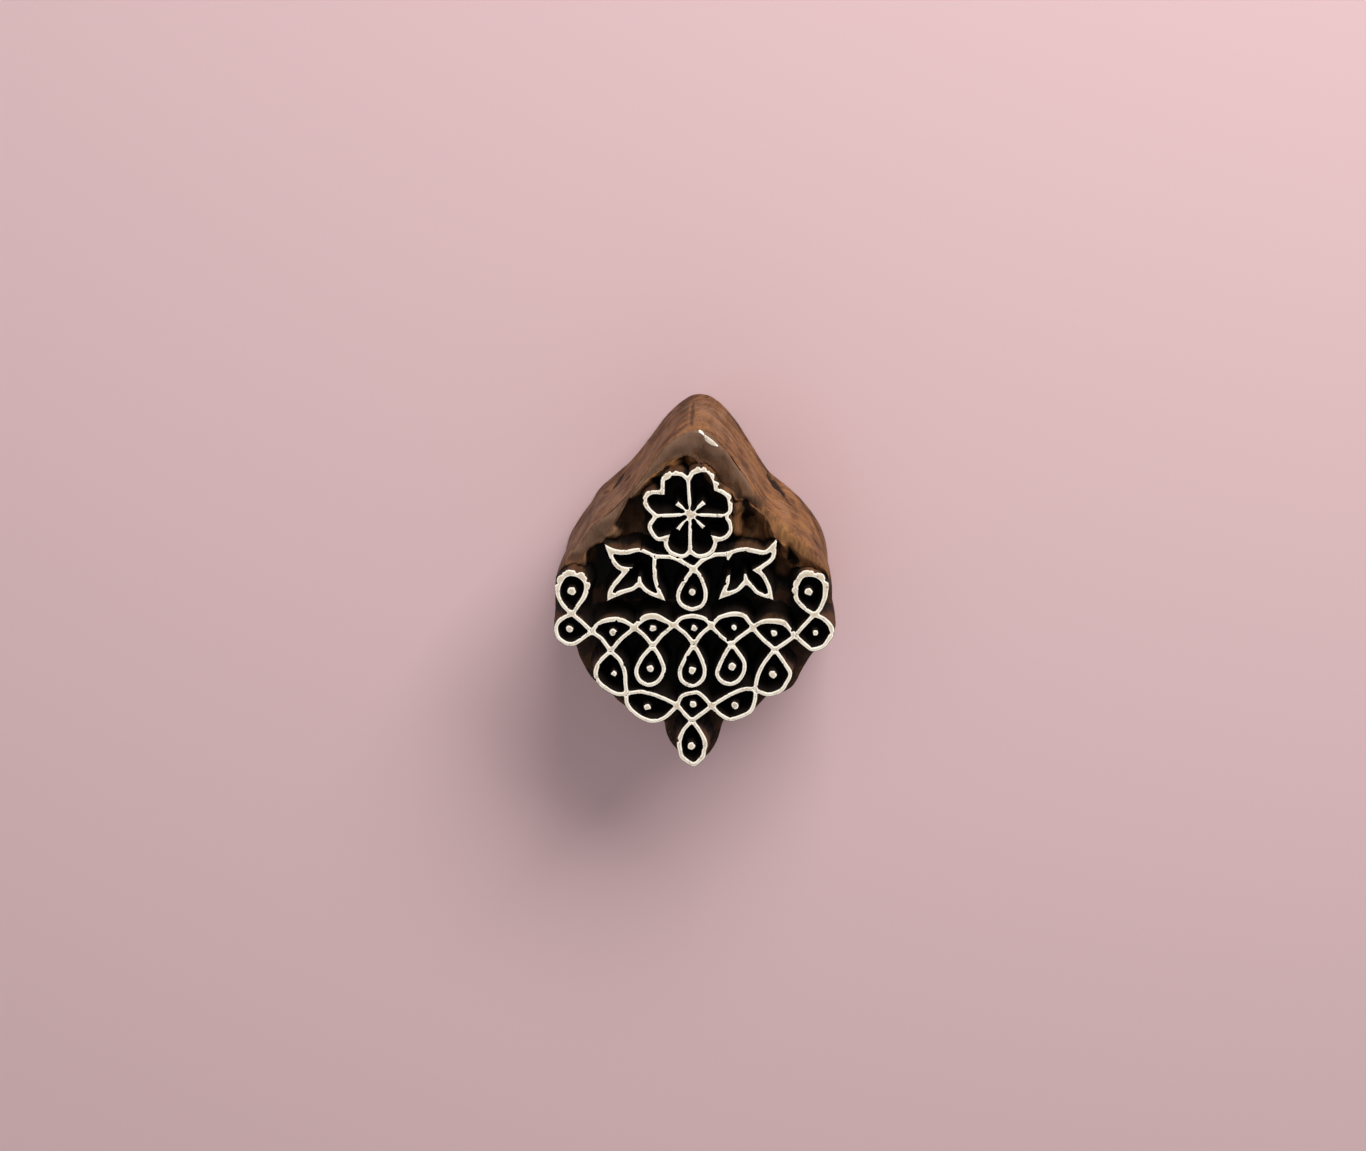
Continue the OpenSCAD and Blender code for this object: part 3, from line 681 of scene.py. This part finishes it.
def coat_on(node, name):
    """The white coat on a motif, a little domed, and chipped along its edges."""
    line = Line(node, COAT_STEP, 1)
    inset = 0.2 if node.startswith("dot") else 0.09
    bm = line.bm
    for vert in bm.verts:
        i = vert[line.point]
        off = flake(vert.co.x / MM, vert.co.y / MM) - line.worn(i, inset)
        vert.co.x += line.out[i][0] * off * MM
        vert.co.y += line.out[i][1] * off * MM
        line.base[i] = (vert.co.x / MM, vert.co.y / MM)
    fill(bm, line.rim, 1)
    across = [edge for edge in bm.edges if not edge.is_boundary]
    bmesh.ops.subdivide_edges(bm, edges=across, cuts=3, use_grid_fill=True)
    bmesh.ops.triangulate(bm, faces=[face for face in bm.faces if len(face.verts) > 4])
    rim = [edge for edge in bm.edges if edge.is_boundary]
    rim_verts = {vert for edge in rim for vert in edge.verts}
    tree = nearest_tree([vert.co for vert in rim_verts])
    depth_layer = bm.verts.layers.float.new("inside")
    for vert in bm.verts:
        inside = 0 if vert in rim_verts else tree.find(vert.co)[2] / MM
        vert[depth_layer] = inside
        fall = 1 - min(1, inside / 0.25)
        lump = 0.02 * (1 + noise.noise(vert.co / MM / 0.9))
        vert.co.z = (FACE_Z - 0.07 * fall * fall - lump) * MM
    ring = line.lower(rim, COAT_Z, lambda i, x, y: 0.02)
    fill(bm, ring, -1)
    bmesh.ops.recalc_face_normals(bm, faces=bm.faces)
    core = [smooth_step(0.12, 0.35, vert[depth_layer]) for vert in bm.verts]
    mesh = mesh_from(bm, name)
    set_values(mesh, "core", core)
    add_piece(mesh, name, node, GROUND_COAT)


# The billet

def base_outline():
    """The segments of the billet's outline in plan."""
    bm = node_copy("block_body")
    bmesh.ops.delete(bm, geom=[f for f in bm.faces if f.normal.z > -0.9], context="FACES")
    ends = [[tuple(v.co.xy / MM) for v in edge.verts] for edge in bm.edges if edge.is_boundary]
    bm.free()
    return np.array(ends)


def along_run(points, start, end):
    """How far along a run each point lies, from 0 to 1, and its distance from the run."""
    along = np.subtract(end, start)
    share = np.clip(((points - start) @ along) / (along @ along), 0, 1)
    return share, np.linalg.norm(points - (start + share[:, None] * along), axis=1)


def noise_places(points, lengths, seed):
    """Points divided by three lengths, and shifted by a seed."""
    shift = Vector((seed, seed * 1.7, seed * 2.3))
    return [Vector(point) + shift for point in points / np.array(lengths)]


def field(points, lengths, seed):
    """Soft noise at points, stretched by three lengths."""
    return np.array([noise.noise(place) for place in noise_places(points, lengths, seed)])


def scoops(points, lengths, seed):
    """Shallow cuts side by side: low in the middle of each, high along the ridges between them."""
    depths = [noise.voronoi(place)[0][0] for place in noise_places(points, lengths, seed)]
    return np.array(depths) - 0.45


class Billet:
    """The block's body: an even mesh of the CAD solid, worked over by knife, gouge and use."""

    def __init__(self):
        rough = bpy.data.objects.new("rough_billet", mesh_from(node_copy("block_body"), "rough_billet"))
        bpy.context.scene.collection.objects.link(rough)
        remesh = rough.modifiers.new("even", "REMESH")
        remesh.mode = "VOXEL"
        remesh.voxel_size = BILLET_STEP * MM
        evaluated = rough.evaluated_get(bpy.context.evaluated_depsgraph_get())
        self.mesh = bpy.data.meshes.new_from_object(evaluated)
        self.mesh.name = "billet"
        bpy.data.objects.remove(rough)

        self.count = len(self.mesh.vertices)
        places = np.zeros(self.count * 3, np.float32)
        self.mesh.vertices.foreach_get("co", places)
        self.co = places.reshape(-1, 3).astype(float) / MM
        ends = np.zeros(len(self.mesh.edges) * 2, np.int32)
        self.mesh.edges.foreach_get("vertices", ends)
        self.links = np.bincount(ends, minlength=self.count)
        ends = ends.reshape(-1, 2)
        self.near = np.concatenate([ends, ends[:, ::-1]])

        _, y, z = self.co.T
        self.from_side = np.full(self.count, 1e9)
        for start, end in base_outline():
            self.from_side = np.minimum(self.from_side, along_run(self.co[:, :2], start, end)[1])
        level = smooth_step(0.5, 0.9, self.normals()[:, 2])
        high = smooth_step(RIM_Z - 6, RIM_Z - 5, z)
        self.wall = 1 - smooth_step(0.3, 0.9, self.from_side)
        self.crest = high * (1 - smooth_step(1.5, 3, self.from_side)) * smooth_step(9, 13, y)
        self.ground = level * (1 - smooth_step(GROUND_Z + 0.5, GROUND_Z + 1.5, z)) * smooth_step(20, 24, z)
        self.inner = (1 - level) * smooth_step(0.9, 1.6, self.from_side)
        self.inner *= smooth_step(GROUND_Z - 1, GROUND_Z, z)
        self.ledge = level * smooth_step(GROUND_Z + 2, GROUND_Z + 4, z)
        self.clear_of_back = smooth_step(0.4, 2.5, z)

    def normals(self):
        """Stores the points in the mesh, and gives the way out of the wood at each."""
        self.mesh.vertices.foreach_set("co", (self.co * MM).astype(np.float32).ravel())
        self.mesh.update()
        found = np.zeros(self.count * 3, np.float32)
        self.mesh.vertex_normals.foreach_get("vector", found)
        return found.reshape(-1, 3).astype(float)

    def neighbours_mean(self):
        """The mean place of each point's neighbours."""
        sums = [np.bincount(self.near[:, 0], axis[self.near[:, 1]], self.count) for axis in self.co.T]
        return np.stack(sums, axis=1) / self.links[:, None]

    def may_slope(self):
        """The points that the slope inside the rim may reach, with the slot behind the flower left out."""
        x, y, z = self.co.T
        inside = (z > GROUND_Z - 1) & (z < RIM_Z) & (self.from_side > 1) & (y > 4)
        inside &= (self.ground > 0.1) | (self.inner > 0.1)
        beside_slot = (np.abs(x - SLOT_X) > SLOT_HALF_WIDTH) | (y < SLOT_FOOT_Y)
        at_corner = np.hypot(x - LEFT_CORNER[0], y - LEFT_CORNER[1]) < 3
        return inside & beside_slot & ((x > LEFT_X) | (y > 21.5) | at_corner)

    def slope_rim(self):
        """Lets the rim's inner side fall to the ground in rough facets, gentle behind the flower."""
        x, y, z = self.co.T
        edge = np.nonzero((self.inner > 0.5) & (z > GROUND_Z + 2))[0]
        tree = nearest_tree([(x[i], y[i], 0) for i in edge])
        self.gentle = 1 - smooth_step(5, 10, np.hypot(x - BEHIND_FLOWER[0], y - BEHIND_FLOWER[1]))
        steep = 2.6 - 1.8 * self.gentle
        steep = steep + 0.9 * field(self.co, (3.5, 3.5, 30), 31) * (1 - 0.6 * self.gentle)
        tooth = 1.1 * np.maximum(0, field(self.co, (1.7, 1.7, 30), 47)) * (1 - self.gentle)
        slope_z = np.zeros(self.count)
        self.edge_z = np.full(self.count, RIM_Z)
        for i in np.nonzero(self.may_slope())[0]:
            place = Vector((x[i], y[i], 0))
            foot, _, away = tree.find(place)
            if away > 5:
                continue
            way = (foot - place).normalized() if away > 0.01 else Vector((0, 1, 0))
            over = Vector((place.x, place.y, LOOK_Z)) * MM
            open_way = LINES.ray_cast(over, way, away * MM)[0] is None
            if open_way or (self.gentle[i] > 0.5 and away < 2.8):
                above = Vector((*(foot + way * 0.5).xy, FACE_Z)) * MM
                rim = BODY.ray_cast(above, Vector((0, 0, -1)))[0]
                self.edge_z[i] = rim.z / MM if rim else GROUND_Z
                slope_z[i] = self.edge_z[i] - 0.2 - steep[i] * max(0, away - tooth[i])
        self.sloped = smooth_step(0, 0.6, slope_z - z)
        z[:] = np.maximum(z, slope_z)
        self.inner *= 1 - self.sloped

    def leave_ridges(self):
        """Raises the ridges of wood that were left in the ground."""
        z = self.co[:, 2]
        for start, end, half_width, height in RIDGES:
            away = along_run(self.co[:, :2], start, end)[1] / half_width
            raised = z + height * np.clip(1 - away * away, 0, 1) * self.ground
            z[:] = np.maximum(z, np.minimum(raised, RIM_Z - 1.2))

    def bite_rim(self):
        """Cuts the notches into the rim's inner edge."""
        z = self.co[:, 2]
        notch = np.zeros(self.count)
        for start, end, half_width in NOTCHES:
            share, away = along_run(self.co[:, :2], start, end)
            near = np.clip(1 - away / (half_width * (1.1 - share)), 0, 1)
            notch = np.maximum(notch, np.sqrt(near) * (1 - 0.5 * share))
        notch *= z > GROUND_Z - 1
        notch_z = np.where(notch > 0, RIM_Z - 1 - 6 * notch, RIM_Z)
        z[:] = np.minimum(z, np.maximum(notch_z, np.minimum(z, GROUND_Z)))
        self.bitten = smooth_step(0.15, 0.45, notch)

    def smooth(self):
        """Takes off the mesh's steps, and rounds the rim's crest."""
        share = (0.1 + 0.5 * self.crest)[:, None]
        for _ in range(SMOOTH_ROUNDS):
            self.co += (self.neighbours_mean() - self.co) * share

    def tool_marks(self):
        """How far knife and gouge left each point out of the drawn shape."""
        co = self.co
        x, y, z = co.T
        push = self.wall * (0.35 * scoops(co, (5, 9, 7), 3) + 0.35 * field(co, (9, 9, 12), 5) - 0.3)
        push += self.wall * (0.2 * scoops(co, (2.2, 4, 2.6), 29) + 0.08 * field(co, (1.2, 4, 1.2), 7))
        rough = self.inner * np.where(x < LEFT_X, 0.4, 1)
        push += rough * (0.9 * scoops(co, (2.8, 2.8, 9), 11) + 0.4 * field(co, (5, 5, 9), 13))
        push += self.sloped * 0.7 * scoops(co, (2.6, 2.6, 6), 41)
        push += self.ground * (1 - self.sloped) * (0.55 * scoops(co, (1.7, 3.1, 3), 17) - 0.1)
        push += self.ground * smooth_step(5, 9, y) * 0.9 * scoops(co, (3.6, 3.6, 3.6), 37)
        lumps = 0.3 * field(co, (3.5, 3.5, 3.5), 19) + 0.4 * scoops(co, (3.5, 3.5, 3.5), 23)
        push += self.ledge * (lumps - 0.1)
        below_lines = self.wall * smooth_step(15, 23, z) * (1 - smooth_step(9, 13, y))
        return push * (self.clear_of_back * (1 - 0.9 * below_lines))

    def work_over(self):
        """Leaves the tools' marks, and opens the splits in the sides with painted shade in them."""
        out = self.normals()
        push = self.tool_marks()
        self.split = np.zeros(self.count)
        for start, end, half_width, depth, darkness in SPLITS:
            share, away = along_run(self.co, start, end)
            taper = 1 - (2 * share - 1) ** 4 * 0.6
            near = np.clip(1 - (away / (half_width * taper)) ** 2, 0, 1)
            push -= depth * near
            self.split = np.maximum(self.split, darkness * smooth_step(0.1, 0.6, near))
        self.co += out * push[:, None]

    def swell(self):
        """Fills out the rounded end."""
        x, y, _ = self.co.T
        for swell_x, swell_y, radius, shift_x, shift_y in SWELLS:
            away = np.hypot(x - swell_x, y - swell_y) / radius
            near = np.clip(1 - away * away, 0, 1) ** 2 * self.clear_of_back
            x += shift_x * near
            y += shift_y * near

    def worn_ridges(self):
        """How far each point of the sides stands out as a ridge that use has rubbed."""
        bulge = ((self.co - self.neighbours_mean()) * self.normals()).sum(axis=1)
        return np.clip(0.5 + bulge / 0.06, 0, 1) * self.wall

    def closed_in(self):
        """How closed in by lines each point of the ground is, and 1 elsewhere."""
        closed = np.ones(self.count)
        for i in np.nonzero(self.ground > 0.2)[0]:
            x, y, _ = self.co[i]
            ways = [clear_way(x, y, math.radians(turn)) for turn in range(0, 360, 30)]
            closed[i] = 1 - sum(ways) / len(ways) / REACH
        return closed

    def dyed(self):
        """How stained each point is, and how dim its dye; both also carry painted shade, more of it deeper
        down, where lines close the ground in, south of the rim and in the notches.
        """
        x, y, z = self.co.T
        closed = self.closed_in()
        thin = thin_dye(x, y)
        # Stain and painted shade: more deeper down, away from the sides and where lines close the ground in
        deep = 1 - smooth_step(GROUND_Z + 2.5, RIM_Z - 1.5, z)
        stain = deep * smooth_step(0.5, 2.2, self.from_side) * smooth_step(0.25, 0.6, closed)
        # Dye dimmed to black with painted shade south of the rim and where lines close the ground in
        from_rim = smooth_step(1, 6, 13 - y + np.abs(x) * 0.1)
        dim = np.maximum(from_rim, smooth_step(0.62, 0.8, closed) * (self.ground > 0.2))
        stain *= 1 - 0.85 * thin
        dim *= 1 - thin

        fallen = smooth_step(0.3, 1.6 + np.maximum(4.4 * self.gentle, 10 * thin), self.edge_z - z)
        stain += (fallen * (1 - 0.7 * thin) - stain) * self.sloped
        dim += (0.45 * (1 - np.maximum(self.gentle, thin)) - dim) * self.sloped

        rounded_end = 1 - smooth_step(2, 7, y)
        runs = 3 * field(self.co, (1.2, 1.2, 6), 53)
        splashed = rounded_end * self.wall * smooth_step(GROUND_Z - 7, GROUND_Z - 0.5, z + runs)
        splashed = np.maximum(splashed, rounded_end * self.ground * smooth_step(0.1, 0.8, self.from_side))
        dim = np.where(splashed > stain, 0.3, dim)
        stain = np.maximum(stain, 0.8 * splashed)
        # The notches are painted black as shade
        return np.maximum(stain, self.bitten), np.maximum(dim, 0.8 * self.bitten)

    def ledge_dust_and_sheen(self):
        """How much dust and painted sheen each point has: the ledge, as far as they reach on either side."""
        x, y, _ = self.co.T
        dust_and_sheen_y = np.where(x > 0, 22, 9.5)
        return self.ledge * (1 - self.bitten) * smooth_step(-3, 2, y - dust_and_sheen_y)

    def piece(self):
        """The billet, worked over and put in the scene."""
        self.slope_rim()
        self.leave_ridges()
        self.bite_rim()
        self.smooth()
        self.work_over()
        self.swell()
        worn = self.worn_ridges()
        stain, dim = self.dyed()
        set_values(self.mesh, "stain", stain)
        set_values(self.mesh, "dim", dim)
        set_values(self.mesh, "ledge", self.ledge_dust_and_sheen())
        set_values(self.mesh, "worn", worn)
        set_values(self.mesh, "split", self.split)
        return add_piece(self.mesh, "billet", "block_body", SIDE_WOOD, crease=60)


def fleck(block):
    """The stray fleck of white on the rim, thin at one end, laid on the wood under it."""
    bm = bmesh.new()
    outline = [
        (0.4, 35.5), (0.7, 35.6), (1.3, 35.2), (1.7, 34.7), (2.4, 34.3), (3.2, 33.7), (4.3, 32.6),
        (4.2, 32.4), (3.3, 32.6), (2.4, 33.1), (1.7, 33.7), (1.5, 34.4), (1.1, 34.8), (0.5, 35.2),
    ]
    bm.faces.new([bm.verts.new(Vector((x, y, 0)) * MM) for x, y in outline])
    bmesh.ops.triangulate(bm, faces=bm.faces)
    bmesh.ops.subdivide_edges(bm, edges=bm.edges, cuts=3, use_grid_fill=True)
    bmesh.ops.triangulate(bm, faces=bm.faces)
    wood = BVHTree.FromObject(block, bpy.context.evaluated_depsgraph_get())
    rim = [edge for edge in bm.edges if edge.is_boundary]
    rim_verts = {vert for edge in rim for vert in edge.verts}
    for vert in bm.verts:
        under = wood.ray_cast(Vector((vert.co.x, vert.co.y, FACE_Z * MM)), Vector((0, 0, -1)))[0]
        vert.co.z = under.z + (FLECK_EDGE if vert in rim_verts else FLECK_THICKNESS) * MM
    made = bmesh.ops.extrude_edge_only(bm, edges=rim)["geom"]
    for vert in made:
        if isinstance(vert, bmesh.types.BMVert):
            vert.co.z -= FLECK_SKIRT * MM
    fill(bm, [item for item in made if isinstance(item, bmesh.types.BMEdge)], -1)
    bmesh.ops.recalc_face_normals(bm, faces=bm.faces)
    tree = nearest_tree([vert.co for vert in rim_verts])
    core = []
    for vert in bm.verts:
        broad_end = vert.co.y < 34.2 * MM
        core.append(smooth_step(0.1, 0.3, tree.find(vert.co)[2] / MM) * broad_end)
    mesh = mesh_from(bm, "fleck")
    set_values(mesh, "core", core)
    add_piece(mesh, "fleck", "rim_fleck", GROUND_COAT)


billet = Billet().piece()
for node in RELIEFS:
    standing_line(node, node.replace("_relief", "_wood").replace("dot_posts", "dots_wood"))
for node in COATS:
    coat_on(node, node.replace("_coats", "s_white").replace("_coat", "_white"))
fleck(billet)

# Stage, light and camera

floor_bm = bmesh.new()
bmesh.ops.create_grid(floor_bm, x_segments=1, y_segments=1, size=3)
floor_mesh = mesh_from(floor_bm, "floor")
floor = bpy.data.objects.new("floor", floor_mesh)
bpy.context.scene.collection.objects.link(floor)
floor_finish = Finish("floor")
floor_finish.set(Base_Color=(0.69, 0.485, 0.515, 1), Roughness=0.95)
floor_mesh.materials.append(floor_finish.material)


def soft_light(name, place, width, height, power, colour):
    """A glowing rectangle that faces the block, in metres and watts."""
    lamp = bpy.data.lights.new(name, "AREA")
    lamp.shape = "RECTANGLE"
    lamp.size = width
    lamp.size_y = height
    lamp.energy = power
    lamp.color = colour
    lamp_object = bpy.data.objects.new(name, lamp)
    lamp_object.location = Vector(place)
    towards_block = Vector((0, 0, 0.02)) - Vector(place)
    lamp_object.rotation_euler = towards_block.to_track_quat("-Z", "Y").to_euler()
    bpy.context.scene.collection.objects.link(lamp_object)


soft_light("window", (0.28, 0.645, 0.48), 0.6, 0.35, 7.8, (1, 0.97, 0.93))
soft_light("sky", (-0.35, 0.3, 0.9), 0.8, 0.8, 1.35, (1, 0.98, 0.97))
soft_light("room", (-0.1, -0.55, 0.75), 0.8, 0.8, 0.8, (1, 0.97, 0.95))

world = bpy.data.worlds.new("studio")
world.use_nodes = True
background = world.node_tree.nodes["Background"]
background.inputs["Color"].default_value = (1, 0.97, 0.96, 1)
background.inputs["Strength"].default_value = 0.25
bpy.context.scene.world = world
bpy.context.scene.view_settings.view_transform = "Standard"

# The camera stands where the photograph was taken from: its right and up, and its place
camera_data = bpy.data.cameras.new("camera")
camera_data.lens = 53.0
camera_data.sensor_width = 36
camera_data.shift_y = -0.0008
camera = bpy.data.objects.new("camera", camera_data)
right = Vector((0.9995, 0.0097, -0.0328))
up = Vector((-0.0183, 0.9617, -0.2737))
camera.matrix_world = Matrix((right, up, right.cross(up))).transposed().to_4x4()
camera.location = Vector((9.24, 116.31, 420.5)) * MM
bpy.context.scene.collection.objects.link(camera)
bpy.context.scene.camera = camera
